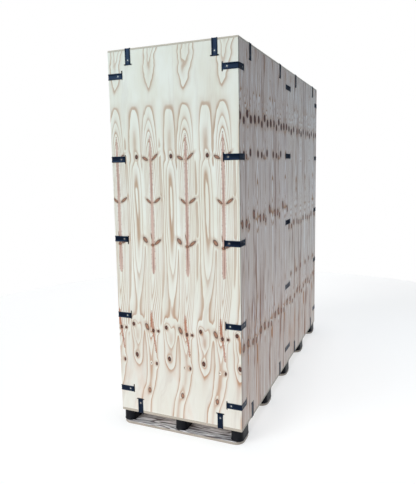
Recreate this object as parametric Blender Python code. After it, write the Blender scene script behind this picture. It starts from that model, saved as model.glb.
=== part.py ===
"""Knock-down plywood shipping crate, tall and narrow, standing on plastic feet and plywood skids.

Every panel is a plain sheet of plywood with routed slots.  L-shaped spring-steel clips hook into
the slots of two neighbouring panels and hold the crate together; straight clips do the same across
the seams between two panels of one side.  Metres, +Z up, front face towards -Y.
"""

import math

import bmesh
import bpy
from mathutils import Matrix, Vector

# ---------------------------------------------------------------- driving dimensions
GAP = 0.0003                # clearance left between pieces that rest on each other

CRATE_WIDTH = 0.900         # X, over the side panels
CRATE_LENGTH = 2.464        # Y, over the front and rear panels: two 1220 sheets and two thicknesses
PANEL_HEIGHT = 2.440        # one full sheet, upright
PANEL_THICKNESS = 0.012
LID_THICKNESS = 0.012
DECK_THICKNESS = 0.018

SKID_THICKNESS = 0.018
SKID_DEPTH = 0.184
SKID_CORNER = 0.060
FOOT_WIDTH = 0.089
FOOT_DEPTH = 0.164
FOOT_CORNER = 0.036
FOOT_HEIGHT = 0.075
END_ROW_Y = 1.146           # centre of the first and last row of feet
INNER_ROW_Y = 0.578

CLIP_WIDTH = 0.038
CLIP_THICKNESS = 0.002
CLIP_ARM = 0.102            # outer corner to the line of the hook
CLIP_BEND = 0.004           # outer radius of the bend
HOOK_DEPTH = 0.0025         # how far a hook reaches below the panel's face
TOOL_HOLE_RADIUS = 0.0045
TOOL_HOLE_INSET = 0.030     # hook line to the centre of the prying hole
SPLICE_SPAN = 0.160         # hook to hook of a straight clip

SLOT_LENGTH = 0.060
SLOT_WIDTH = 0.009
LIFT_PLAY = 0.00225         # slots under the lid are cut this much higher, so the hooks clear on lifting

EDGE_CLIP_END = 0.150       # end of the corner to the first and last clip along it
SEAM_CLIP_END = 0.125
END_CLIP_X = 0.300          # clips along the short top and bottom edges
SIDE_CLIP_Y = (0.265, 1.007)
LID_SEAM_CLIP_X = 0.225
CLIPS_PER_CORNER = 5

ROUND_SEGMENTS = 8
CORNER_SEGMENTS = 4

# ---------------------------------------------------------------- levels that follow
HALF_WIDTH = CRATE_WIDTH / 2
HALF_LENGTH = CRATE_LENGTH / 2
FOOT_BOTTOM = SKID_THICKNESS + GAP
DECK_BOTTOM = FOOT_BOTTOM + FOOT_HEIGHT
DECK_TOP = DECK_BOTTOM + DECK_THICKNESS
PANEL_BOTTOM = DECK_TOP + GAP
PANEL_TOP = PANEL_BOTTOM + PANEL_HEIGHT
LID_BOTTOM = PANEL_TOP + GAP
LID_TOP = LID_BOTTOM + LID_THICKNESS
MID_HEIGHT = (DECK_BOTTOM + LID_TOP) / 2

FOOT_COLUMNS = (-(HALF_WIDTH - FOOT_WIDTH / 2), 0.0, HALF_WIDTH - FOOT_WIDTH / 2)
FOOT_ROWS = (-END_ROW_Y, -INNER_ROW_Y, 0.0, INNER_ROW_Y, END_ROW_Y)
ROW_NAMES = ("front", "second", "middle", "fourth", "rear")
COLUMN_NAMES = ("left", "centre", "right")

X, Y, Z = Vector((1, 0, 0)), Vector((0, 1, 0)), Vector((0, 0, 1))


def evenly_spaced(span, end_inset, count):
    """Offsets from the middle of a span, the outer two end_inset from its ends."""
    reach = span / 2 - end_inset
    return [-reach + 2 * reach * i / (count - 1) for i in range(count)]


WALL_SPAN = LID_TOP - DECK_BOTTOM
CORNER_OFFSETS = evenly_spaced(WALL_SPAN, EDGE_CLIP_END + DECK_THICKNESS, CLIPS_PER_CORNER)
SEAM_OFFSETS = evenly_spaced(WALL_SPAN, SEAM_CLIP_END + DECK_THICKNESS, CLIPS_PER_CORNER)
SIDE_OFFSETS = [s * y for y in SIDE_CLIP_Y for s in (-1, 1)]
END_OFFSETS = [-END_CLIP_X, END_CLIP_X]
LID_SEAM_OFFSETS = [-LID_SEAM_CLIP_X, LID_SEAM_CLIP_X]

# how far each slot of a corner was cut off the middle of its clip, lowest clip first
LEFT_CORNER_PLAY = (0.006, 0.006, -0.006, 0.0, 0.006)
RIGHT_CORNER_PLAY = (0.0, 0.0, -0.005, 0.0, 0.0)


# ---------------------------------------------------------------- scene helpers
def clear_scene():
    for obj in list(bpy.data.objects):
        bpy.data.objects.remove(obj, do_unlink=True)


def new_collection(name):
    collection = bpy.data.collections.new(name)
    bpy.context.scene.collection.children.link(collection)
    return collection


def new_material(name, colour, roughness, metallic=0.0):
    material = bpy.data.materials.new(name)
    material.use_nodes = True
    shader = material.node_tree.nodes["Principled BSDF"]
    shader.inputs["Base Color"].default_value = (*colour, 1.0)
    shader.inputs["Roughness"].default_value = roughness
    shader.inputs["Metallic"].default_value = metallic
    material.diffuse_color = (*colour, 1.0)
    return material


def frame_matrix(x_axis, y_axis, origin):
    """A placement whose local X and Y point along two world directions."""
    z_axis = x_axis.cross(y_axis)
    matrix = Matrix((x_axis, y_axis, z_axis)).transposed().to_4x4()
    matrix.translation = origin
    return matrix


def add_object(name, data, matrix, parent):
    """Link data as a named object at a world placement, hung on a parent empty."""
    obj = bpy.data.objects.new(name, data)
    crate_parts.objects.link(obj)
    if parent is not None:
        obj.parent = parent
        obj.matrix_parent_inverse = Matrix.Translation(parent.location).inverted()
    obj.matrix_basis = matrix
    return obj


def add_empty(name, location):
    empty = bpy.data.objects.new(name, None)
    empty.location = location
    crate_parts.objects.link(empty)
    return empty


# ---------------------------------------------------------------- outlines
def arc(centre, radius, start, end, segments):
    """Points along an arc, both ends included; angles in degrees."""
    points = []
    for i in range(segments + 1):
        angle = math.radians(start + (end - start) * i / segments)
        points.append((centre[0] + radius * math.cos(angle), centre[1] + radius * math.sin(angle)))
    return points


def rectangle(width, height):
    return [(-width / 2, -height / 2), (width / 2, -height / 2),
            (width / 2, height / 2), (-width / 2, height / 2)]


def rounded_rectangle(width, height, radius):
    a, b = width / 2 - radius, height / 2 - radius
    corners = ((a, b, 0), (-a, b, 90), (-a, -b, 180), (a, -b, 270))
    return [p for cx, cy, turn in corners
            for p in arc((cx, cy), radius, turn, turn + 90, CORNER_SEGMENTS)]


def slot(u, v, upright):
    """A round-ended slot centred at (u, v)."""
    radius = SLOT_WIDTH / 2
    reach = SLOT_LENGTH / 2 - radius
    if upright:
        return (arc((u, v + reach), radius, 0, 180, 3)
                + arc((u, v - reach), radius, 180, 360, 3))
    return (arc((u + reach, v), radius, -90, 90, 3)
            + arc((u - reach, v), radius, 90, 270, 3))


def flat_curve(name, loops, thickness, material):
    """A plate: closed outlines filled with their holes left open, extruded both ways."""
    curve = bpy.data.curves.new(name, "CURVE")
    curve.dimensions = "2D"
    curve.fill_mode = "BOTH"
    curve.extrude = thickness / 2
    for loop in loops:
        spline = curve.splines.new("POLY")
        spline.points.add(len(loop) - 1)
        for point, (u, v) in zip(spline.points, loop):
            point.co = (u, v, 0, 1)
        spline.use_cyclic_u = True
    curve.materials.append(material)
    return curve


def board(name, orientation, u_range, v_range, depth, thickness, cutouts, parent):
    """A sheet of plywood.  u and v are the world coordinates along its two edges."""
    x_axis, y_axis = orientation
    u_mid, v_mid = sum(u_range) / 2, sum(v_range) / 2
    outline = rectangle(u_range[1] - u_range[0], v_range[1] - v_range[0])
    holes = [[(u - u_mid, v - v_mid) for u, v in loop] for loop in cutouts]
    centre = x_axis * u_mid + y_axis * v_mid + x_axis.cross(y_axis) * depth
    curve = flat_curve(name, [outline] + holes, thickness, plywood)
    return add_object(name, curve, frame_matrix(x_axis, y_axis, centre), parent)


# ---------------------------------------------------------------- solid templates
def evaluated_mesh(obj):
    """The object's mesh after its modifiers, with a curve's loose caps welded on."""
    bpy.context.view_layer.update()
    depsgraph = bpy.context.evaluated_depsgraph_get()
    mesh = bpy.data.meshes.new_from_object(obj.evaluated_get(depsgraph))
    shape = bmesh.new()
    shape.from_mesh(mesh)
    bmesh.ops.remove_doubles(shape, verts=shape.verts, dist=0.00001)
    shape.to_mesh(mesh)
    shape.free()
    return mesh


def tool_hole_cutter(name, location, along):
    """A short cylinder through a clip arm, its axis along the local direction given."""
    mesh = bpy.data.meshes.new(name)
    shape = bmesh.new()
    bmesh.ops.create_cone(shape, cap_ends=True, segments=ROUND_SEGMENTS, radius1=TOOL_HOLE_RADIUS,
                          radius2=TOOL_HOLE_RADIUS, depth=6 * CLIP_THICKNESS)
    shape.to_mesh(mesh)
    shape.free()
    cutter = bpy.data.objects.new(name, mesh)
    cutter.matrix_basis = (Matrix.Translation(location)
                           @ Z.rotation_difference(along).to_matrix().to_4x4())
    cutter.hide_render = True
    cutter.display_type = "WIRE"
    cutters.objects.link(cutter)
    return cutter


def clip_mesh(name, outline, hole_places):
    """A bent strip: its edge-on outline extruded to the clip's width, then drilled."""
    curve = flat_curve(name, [outline], CLIP_WIDTH, clip_steel)
    blank = bpy.data.objects.new(name + "_strip", curve)
    cutters.objects.link(blank)
    mesh = evaluated_mesh(blank)
    bpy.data.objects.remove(blank, do_unlink=True)
    strip = bpy.data.objects.new(name + "_blank", mesh)
    cutters.objects.link(strip)
    for i, (location, along) in enumerate(hole_places):
        drill = strip.modifiers.new("tool_hole", "BOOLEAN")
        drill.operation = "DIFFERENCE"
        drill.solver = "EXACT"
        drill.object = tool_hole_cutter(f"{name}_hole_{i + 1}", location, along)
    drilled = evaluated_mesh(strip)
    bpy.data.objects.remove(strip, do_unlink=True)
    drilled.name = name
    drilled.shade_smooth()
    drilled.set_sharp_from_angle(angle=math.radians(35))
    return drilled


def corner_clip_mesh():
    """The L clip in its hinge frame: one face is the plane x = 0 and the other y = -CLIP_ARM,
    the hook at the origin is the one that it turns on, and +Z is the axis that opens it."""
    inner, outer = GAP, GAP + CLIP_THICKNESS
    half = CLIP_THICKNESS / 2
    bend_centre = (outer - CLIP_BEND, -CLIP_ARM - outer + CLIP_BEND)
    outline = [(inner, -half), (-HOOK_DEPTH, -half), (-HOOK_DEPTH, half), (outer, half)]
    outline += arc(bend_centre, CLIP_BEND, 0, -90, 3)
    outline += [(-CLIP_ARM - half, -CLIP_ARM - outer), (-CLIP_ARM - half, -CLIP_ARM + HOOK_DEPTH),
                (-CLIP_ARM + half, -CLIP_ARM + HOOK_DEPTH), (-CLIP_ARM + half, -CLIP_ARM - inner),
                (inner, -CLIP_ARM - inner)]
    holes = [(Vector((inner, -TOOL_HOLE_INSET, 0)), X),
             (Vector((-CLIP_ARM + TOOL_HOLE_INSET, -CLIP_ARM - inner, 0)), Y)]
    return clip_mesh("corner_clip", outline, holes)


def splice_clip_mesh():
    """The straight clip in its hinge frame: face x = 0, the far hook at y = +SPLICE_SPAN."""
    inner, outer = GAP, GAP + CLIP_THICKNESS
    half = CLIP_THICKNESS / 2
    far = SPLICE_SPAN
    outline = [(outer, -half), (outer, far + half), (-HOOK_DEPTH, far + half),
               (-HOOK_DEPTH, far - half), (inner, far - half), (inner, half),
               (-HOOK_DEPTH, half), (-HOOK_DEPTH, -half)]
    holes = [(Vector((inner, TOOL_HOLE_INSET, 0)), X),
             (Vector((inner, far - TOOL_HOLE_INSET, 0)), X)]
    return clip_mesh("splice_clip", outline, holes)


# ---------------------------------------------------------------- base: skids, feet, deck
def build_base(parent):
    skid_outline = rounded_rectangle(CRATE_WIDTH, SKID_DEPTH, SKID_CORNER)
    skid = flat_curve("skid", [skid_outline], SKID_THICKNESS, weathered_plywood)
    foot_outline = rounded_rectangle(FOOT_WIDTH, FOOT_DEPTH, FOOT_CORNER)
    foot = flat_curve("foot", [foot_outline], FOOT_HEIGHT - GAP, foot_plastic)
    foot_middle = FOOT_BOTTOM + (FOOT_HEIGHT - GAP) / 2
    for row_name, row_y in zip(ROW_NAMES, FOOT_ROWS):
        place = Matrix.Translation((0, row_y, SKID_THICKNESS / 2))
        add_object(f"skid_{row_name}", skid, place, parent)
        for column_name, column_x in zip(COLUMN_NAMES, FOOT_COLUMNS):
            place = Matrix.Translation((column_x, row_y, foot_middle))
            add_object(f"foot_{row_name}_{column_name}", foot, place, parent)

    for name, y_range in (("deck_front", (-HALF_LENGTH, -GAP / 2)),
                          ("deck_rear", (GAP / 2, HALF_LENGTH))):
        board(name, (X, Y), (-HALF_WIDTH, HALF_WIDTH), y_range, (DECK_BOTTOM + DECK_TOP) / 2,
              DECK_THICKNESS, horizontal_board_slots(y_range), parent)


def horizontal_board_slots(y_range):
    """Slots of the lid and the deck for the clips along their outer edges."""
    slots = []
    for y_end in (-HALF_LENGTH + CLIP_ARM, HALF_LENGTH - CLIP_ARM):
        slots += [slot(x, y_end, False) for x in END_OFFSETS if y_range[0] < y_end < y_range[1]]
    for x_side in (-HALF_WIDTH + CLIP_ARM, HALF_WIDTH - CLIP_ARM):
        slots += [slot(x_side, y, True) for y in SIDE_OFFSETS if y_range[0] < y < y_range[1]]
    return slots


# ---------------------------------------------------------------- walls
def edge_slots(positions):
    """Slots near a wall's top and bottom edges for the clips that hold the lid and the deck."""
    levels = (DECK_BOTTOM + CLIP_ARM, LID_TOP - CLIP_ARM + LIFT_PLAY)
    return [slot(u, v, False) for u in positions for v in levels]


def column_slots(u, offsets, plays):
    """A column of upright slots for the clips along a corner or a seam."""
    return [slot(u, MID_HEIGHT + offset + play, True) for offset, play in zip(offsets, plays)]


def build_walls(parent):
    heights = (PANEL_BOTTOM, PANEL_TOP)
    no_play = (0.0,) * CLIPS_PER_CORNER
    end_cutouts = (column_slots(-HALF_WIDTH + CLIP_ARM, CORNER_OFFSETS, LEFT_CORNER_PLAY)
                   + column_slots(HALF_WIDTH - CLIP_ARM, CORNER_OFFSETS, RIGHT_CORNER_PLAY)
                   + edge_slots(END_OFFSETS))
    for name, side in (("front_panel", 1), ("rear_panel", -1)):
        depth = side * (HALF_LENGTH - PANEL_THICKNESS / 2)
        board(name, (X, Z), (-HALF_WIDTH, HALF_WIDTH), heights, depth, PANEL_THICKNESS,
              end_cutouts, parent)

    end_face = HALF_LENGTH - PANEL_THICKNESS - GAP
    spans = {"front": (-end_face, -GAP / 2), "rear": (GAP / 2, end_face)}
    for side_name, side in (("left", -1), ("right", 1)):
        depth = side * (HALF_WIDTH - PANEL_THICKNESS / 2)
        for half_name, y_range in spans.items():
            end = -1 if half_name == "front" else 1
            cutouts = column_slots(end * (HALF_LENGTH - CLIP_ARM), CORNER_OFFSETS, no_play)
            cutouts += column_slots(end * SPLICE_SPAN / 2, SEAM_OFFSETS, no_play)
            cutouts += edge_slots([y for y in SIDE_OFFSETS if y_range[0] < y < y_range[1]])
            board(f"{side_name}_panel_{half_name}", (Y, Z), y_range, heights, depth,
                  PANEL_THICKNESS, cutouts, parent)


# ---------------------------------------------------------------- lid
def build_lid(parent):
    for name, y_range in (("lid_front", (-HALF_LENGTH, -GAP / 2)),
                          ("lid_rear", (GAP / 2, HALF_LENGTH))):
        cutouts = horizontal_board_slots(y_range)
        seam_y = math.copysign(SPLICE_SPAN / 2, y_range[0] + y_range[1])
        cutouts += [slot(x, seam_y, False) for x in LID_SEAM_OFFSETS]
        board(name, (X, Y), (-HALF_WIDTH, HALF_WIDTH), y_range, (LID_BOTTOM + LID_TOP) / 2,
              LID_THICKNESS, cutouts, parent)


# ---------------------------------------------------------------- clips
def build_clips(crate, lid):
    """The outermost two clips of every row of clips."""
    corner_clip = corner_clip_mesh()
    splice_clip = splice_clip_mesh()

    def clip_pair(name, mesh, face_normal, towards_corner, line, along, reach, pair_names, parent):
        """Two like clips at +-reach along their common hook line, each with its origin on it."""
        for pair_name, offset in zip(pair_names, (-reach, reach)):
            place = frame_matrix(face_normal, -towards_corner, line + along * offset)
            add_object(f"{name}_{pair_name}", mesh, place, parent)

    corner_reach, seam_reach = CORNER_OFFSETS[-1], SEAM_OFFSETS[-1]
    low_high, left_right, front_rear = ("low", "high"), ("left", "right"), ("front", "rear")
    for end_name, end in (("front", -Y), ("rear", Y)):
        for side_name, side in (("left", -X), ("right", X)):
            line = side * HALF_WIDTH + end * (HALF_LENGTH - CLIP_ARM) + Z * MID_HEIGHT
            clip_pair(f"corner_clip_{end_name}_{side_name}", corner_clip, side, end, line,
                      Z, corner_reach, low_high, crate)

    edges = (("front", -Y, HALF_LENGTH, X, END_CLIP_X, left_right),
             ("rear", Y, HALF_LENGTH, X, END_CLIP_X, left_right),
             ("left", -X, HALF_WIDTH, Y, SIDE_CLIP_Y[-1], front_rear),
             ("right", X, HALF_WIDTH, Y, SIDE_CLIP_Y[-1], front_rear))
    for name, outwards, edge, along, reach, pair_names in edges:
        inset = outwards * (edge - CLIP_ARM)
        clip_pair(f"lid_clip_{name}", corner_clip, Z, outwards, inset + Z * LID_TOP,
                  along, reach, pair_names, lid)
        clip_pair(f"base_clip_{name}", corner_clip, -Z, outwards, inset + Z * DECK_BOTTOM,
                  along, reach, pair_names, crate)

    for side_name, side in (("left", -X), ("right", X)):
        line = side * HALF_WIDTH - Y * (SPLICE_SPAN / 2) + Z * MID_HEIGHT
        clip_pair(f"seam_clip_{side_name}", splice_clip, side, -Y, line,
                  Z, seam_reach, low_high, crate)
    lid_line = -Y * (SPLICE_SPAN / 2) + Z * LID_TOP
    clip_pair("lid_seam_clip", splice_clip, Z, -Y, lid_line, X, LID_SEAM_CLIP_X, left_right, lid)


clear_scene()
crate_parts = new_collection("shipping_crate")
cutters = new_collection("cutters")

plywood = new_material("plywood", (0.72, 0.58, 0.42), 0.6)
weathered_plywood = new_material("weathered_plywood", (0.35, 0.28, 0.22), 0.75)
foot_plastic = new_material("foot_plastic", (0.010, 0.014, 0.022), 0.5)
clip_steel = new_material("clip_steel", (0.012, 0.015, 0.022), 0.4, 0.6)

crate_empty = add_empty("crate", (0, 0, 0))
lid_empty = add_empty("lid", (0, 0, LID_BOTTOM))
build_base(crate_empty)
build_walls(crate_empty)
build_lid(lid_empty)
build_clips(crate_empty, lid_empty)
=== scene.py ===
"""Looks of the flat-pack plywood shipping crate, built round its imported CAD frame.

The boards keep their CAD shapes and get rounded edges and rotary-cut veneer. Every spring clip,
foot, skid and screw is modelled here in detail, at the place that the frame gives.
Metres, +Z up, in the frame's own axes: X is the crate's width and -Y is its front.
"""
import math
from collections import namedtuple

import bmesh
import bpy
from mathutils import Matrix, Vector


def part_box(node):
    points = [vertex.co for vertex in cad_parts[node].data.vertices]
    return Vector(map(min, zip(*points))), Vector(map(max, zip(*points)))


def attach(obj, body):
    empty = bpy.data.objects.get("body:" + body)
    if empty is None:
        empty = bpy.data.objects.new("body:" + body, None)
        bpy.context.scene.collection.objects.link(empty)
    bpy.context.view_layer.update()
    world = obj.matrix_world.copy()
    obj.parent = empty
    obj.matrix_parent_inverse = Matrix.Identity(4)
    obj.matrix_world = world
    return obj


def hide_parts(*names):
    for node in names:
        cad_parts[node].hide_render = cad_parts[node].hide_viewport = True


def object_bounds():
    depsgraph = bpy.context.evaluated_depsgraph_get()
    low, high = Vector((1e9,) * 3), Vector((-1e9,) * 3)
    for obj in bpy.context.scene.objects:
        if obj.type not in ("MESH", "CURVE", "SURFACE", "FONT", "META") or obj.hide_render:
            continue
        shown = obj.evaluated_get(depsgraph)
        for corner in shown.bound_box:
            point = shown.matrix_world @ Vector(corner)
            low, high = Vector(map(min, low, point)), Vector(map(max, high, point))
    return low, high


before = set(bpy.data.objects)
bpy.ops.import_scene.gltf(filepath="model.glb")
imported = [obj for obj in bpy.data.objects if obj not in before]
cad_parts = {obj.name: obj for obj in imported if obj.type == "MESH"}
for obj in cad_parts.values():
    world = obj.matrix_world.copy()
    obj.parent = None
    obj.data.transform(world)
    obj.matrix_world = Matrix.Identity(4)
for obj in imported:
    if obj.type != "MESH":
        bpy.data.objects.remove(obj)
cad_low, cad_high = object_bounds()

X, Y, Z = Vector((1, 0, 0)), Vector((0, 1, 0)), Vector((0, 0, 1))

# ---------------------------------------------------------------- sizes read from the frame
deck_low, deck_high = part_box("deck_front")
foot_low, foot_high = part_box("foot_front_left")
skid_low, skid_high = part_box("skid_front")
HALF_WIDTH = deck_high.x
HALF_LENGTH = -deck_low.y
DECK_BOTTOM, DECK_TOP = deck_low.z, deck_high.z
LID_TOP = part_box("lid_front")[1].z

# ---------------------------------------------------------------- clips, placed as in the CAD
GAP = 0.0003                # between a clip and the board under it
CLIP_ARM = 0.102            # outer corner of the crate to the line of a hook
CLIP_HALF_WIDTH = 0.019
SPLICE_SPAN = 0.160         # from one hook of a straight clip to the other
SHEET_STEEL = 0.0014
STEEL_EDGE = 0.00035        # rounding of the steel's edges
HOOK_REACH = 0.0025         # how far a hook goes into its slot
BEND_RADIUS = 0.0025        # outside the bend; tight enough to clear the edge of the board
TOOL_HOLE_RADIUS = 0.0045
TOOL_HOLE_INSET = 0.030     # from the line of a hook to its tool hole
RIM_LIFT = 0.0016           # height of the rolled rims along a clip's two edges

# ---------------------------------------------------------------- plywood
PLY = 0.0024                # thickness of one veneer in a board's edge
EDGE_ROUNDING = 0.0009
FIBRE_PITCH = 0.0022        # width of the fine fibres in a veneer


# ================================================================ shader graphs
class Graph:
    """Short calls that add a material's nodes and link them."""

    def __init__(self, name):
        self.material = bpy.data.materials.new(name)
        self.material.use_nodes = True
        self.tree = self.material.node_tree
        self.tree.nodes.clear()
        self.output = self.add("ShaderNodeOutputMaterial")

    def add(self, kind, **settings):
        node = self.tree.nodes.new(kind)
        for key, value in settings.items():
            setattr(node, key, value)
        return node

    def feed(self, socket, value):
        if isinstance(value, bpy.types.NodeSocket):
            self.tree.links.new(value, socket)
        elif value is not None:
            socket.default_value = value

    def math(self, operation, *values, clamp=False):
        node = self.add("ShaderNodeMath", operation=operation, use_clamp=clamp)
        for socket, value in zip(node.inputs, values):
            self.feed(socket, value)
        return node.outputs[0]

    def total(self, *values):
        result = values[0]
        for value in values[1:]:
            result = self.math("ADD", result, value)
        return result

    def smooth(self, value, start, end):
        """0 at start and 1 at end, eased between them."""
        node = self.add("ShaderNodeMapRange", interpolation_type="SMOOTHSTEP")
        for name, given in (("Value", value), ("From Min", start), ("From Max", end)):
            self.feed(node.inputs[name], given)
        return node.outputs[0]

    def vector(self, x=0.0, y=0.0, z=0.0):
        node = self.add("ShaderNodeCombineXYZ")
        for socket, value in zip(node.inputs, (x, y, z)):
            self.feed(socket, value)
        return node.outputs[0]

    def noise(self, vector, scale, detail=2.0, roughness=0.5, w=None):
        """Noise from -1 to 1 or nearly so."""
        node = self.add("ShaderNodeTexNoise", noise_dimensions="3D" if w is None else "4D")
        self.feed(node.inputs["Vector"], vector)
        node.inputs["Scale"].default_value = scale
        node.inputs["Detail"].default_value = detail
        node.inputs["Roughness"].default_value = roughness
        if w is not None:
            self.feed(node.inputs["W"], w)
        return self.math("MULTIPLY_ADD", node.outputs[0], 2.0, -1.0)

    def curve(self, value, points, span):
        """The height of a smooth curve through points (place, height), with places from 0 to span."""
        heights = [height for _, height in points]
        low, high = min(heights), max(heights)
        node = self.add("ShaderNodeFloatCurve")
        self.feed(node.inputs["Value"], self.math("DIVIDE", value, span, clamp=True))
        line = node.mapping.curves[0]
        spots = [(place / span, (height - low) / (high - low)) for place, height in points]
        line.points[0].location, line.points[1].location = spots[0], spots[-1]
        for spot in spots[1:-1]:
            line.points.new(*spot)
        node.mapping.update()
        return self.math("MULTIPLY_ADD", node.outputs[0], high - low, low)

    def ramp(self, value, stops):
        """A number from 0 to 1 read off straight lines between (place, number) stops."""
        node = self.add("ShaderNodeValToRGB")
        self.feed(node.inputs[0], value)
        elements = node.color_ramp.elements
        while len(elements) < len(stops):
            elements.new(0.5)
        for element, (place, level) in zip(elements, stops):
            element.position = place
            element.color = (level, level, level, 1)
        return node.outputs[0]

    def mix(self, factor, first, second):
        node = self.add("ShaderNodeMix", data_type="RGBA")
        self.feed(node.inputs[0], factor)
        self.feed(node.inputs[6], first)
        self.feed(node.inputs[7], second)
        return node.outputs[2]

    def bump(self, height, distance, strength):
        node = self.add("ShaderNodeBump")
        self.feed(node.inputs["Height"], height)
        node.inputs["Distance"].default_value = distance
        node.inputs["Strength"].default_value = strength
        return node.outputs[0]

    def finish(self, colour, roughness, normal=None, **values):
        shader = self.add("ShaderNodeBsdfPrincipled")
        self.feed(shader.inputs["Base Color"], colour)
        self.feed(shader.inputs["Roughness"], roughness)
        self.feed(shader.inputs["Normal"], normal)
        for name, value in values.items():
            shader.inputs[name.replace("_", " ")].default_value = value
        self.tree.links.new(shader.outputs[0], self.output.inputs[0])
        return self.material


def rgb(red, green, blue):
    """A linear colour with its alpha, from display values of 0 to 255."""
    return tuple((c / 255) ** 2.2 for c in (red, green, blue)) + (1.0,)


# ================================================================ veneer
# A mark is an ellipse on one turn of the log: how far across from the turn's centre line and
# how high it lies, its half width and half length, and its lean to the left in degrees.
Mark = namedtuple("Mark", "across height half_width half_length lean")

# A figure is the grain of one log. Its rings show as contour lines of two ridges a turn, whose
# heights in rings are curves over the height of the sheet.
Figure = namedtuple("Figure", "turn column_gap pith_rings column_rings pointed drift "
                              "pith_width pith_path dark_knots brown_knots")

SHEET_SPAN = 2.5            # height that the curves of a figure cover
VALLEY = 0.06               # how far below its foot a ridge's rings go on, as a part of its height
RIDGE_EASING = 0.12         # how gently a ridge's flanks run out at its foot
RAGGEDNESS = 0.26           # how uneven a knot's outline is, as a part of its size

END_FIGURE = Figure(
    turn=0.2515,
    column_gap=0.142,
    pith_rings=[(0, 1.5), (0.30, 1.6), (0.42, 1.7), (0.52, 2.4), (0.64, 3.6), (0.78, 4.5), (0.92, 5.2),
                (1.10, 5.7), (1.50, 5.7), (1.78, 5.0), (1.88, 3.9), (1.955, 2.7), (2.02, 1.7), (2.10, 0.72),
                (2.15, 0.10), (2.19, 0.50), (2.26, 1.15), (2.36, 1.7), (2.46, 2.4)],
    column_rings=[(0, 0.1), (0.25, 0.2), (0.32, 0.5), (0.37, 1.0), (0.42, 1.3), (0.47, 1.6), (0.51, 2.0),
                  (0.56, 2.7), (0.61, 2.4), (0.66, 1.4), (0.70, 1.0), (0.78, 1.0), (0.85, 1.25), (0.92, 1.63),
                  (1.00, 2.1), (1.09, 2.63), (1.20, 3.0), (1.32, 3.2), (1.50, 3.3), (1.62, 3.1), (1.69, 2.8),
                  (1.72, 2.4), (1.75, 1.9), (1.775, 1.5), (1.80, 1.6), (1.84, 1.85), (1.92, 1.75),
                  (1.98, 1.42), (2.06, 0.95), (2.10, 0.60), (2.14, 0.12), (2.22, 0.0), (2.46, -0.1)],
    pointed=[(0, 0.3), (0.35, 0.5), (0.55, 1.0), (0.75, 1.6), (1.25, 1.9), (1.45, 0.6), (1.65, 0.0),
             (2.08, 0.0), (2.16, 0.9), (2.46, 1.0)],
    drift=[(0, -0.100), (0.10, -0.092), (0.24, -0.052), (0.36, -0.036), (0.60, -0.032), (0.95, -0.008),
           (1.20, 0.0), (2.16, 0.002), (2.46, 0.024)],
    pith_width=[(0, -0.012), (0.44, -0.010), (0.465, 0.005), (0.58, 0.0065), (0.64, 0.010), (0.70, 0.008),
                (0.755, 0.0), (0.80, -0.012), (0.98, -0.012), (1.005, 0.002), (1.06, 0.013), (1.20, 0.012),
                (1.50, 0.0105), (1.78, 0.0095), (1.86, 0.007), (1.93, -0.001), (1.97, -0.012),
                (2.46, -0.012)],
    pith_path=[(0, 0.0), (0.40, 0.0), (0.48, -0.004), (0.61, -0.020), (0.755, -0.030), (0.95, -0.004),
               (1.10, 0.0), (2.46, 0.0)],
    dark_knots=[Mark(0.150, 1.782, 0.011, 0.015, 0), Mark(-0.019, 0.613, 0.010, 0.014, 0),
                Mark(0.019, 0.613, 0.009, 0.010, 0), Mark(0.080, 0.645, 0.011, 0.015, 0),
                Mark(0.098, 0.427, 0.012, 0.018, 10), Mark(0.0, 0.381, 0.008, 0.013, 0),
                Mark(-0.042, 0.381, 0.0035, 0.004, 0)],
    brown_knots=[Mark(-0.038, 1.770, 0.010, 0.023, 62), Mark(0.032, 1.779, 0.008, 0.031, -46),
                 Mark(-0.022, 1.495, 0.008, 0.022, 48), Mark(0.042, 1.500, 0.009, 0.029, -54),
                 Mark(-0.056, 1.236, 0.013, 0.024, 35), Mark(0.036, 1.224, 0.010, 0.030, -52),
                 Mark(-0.002, 1.203, 0.013, 0.009, 0), Mark(-0.010, 1.262, 0.003, 0.020, 8),
                 Mark(-0.066, 0.636, 0.013, 0.026, 22), Mark(-0.062, 0.181, 0.012, 0.020, 0)],
)

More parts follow.
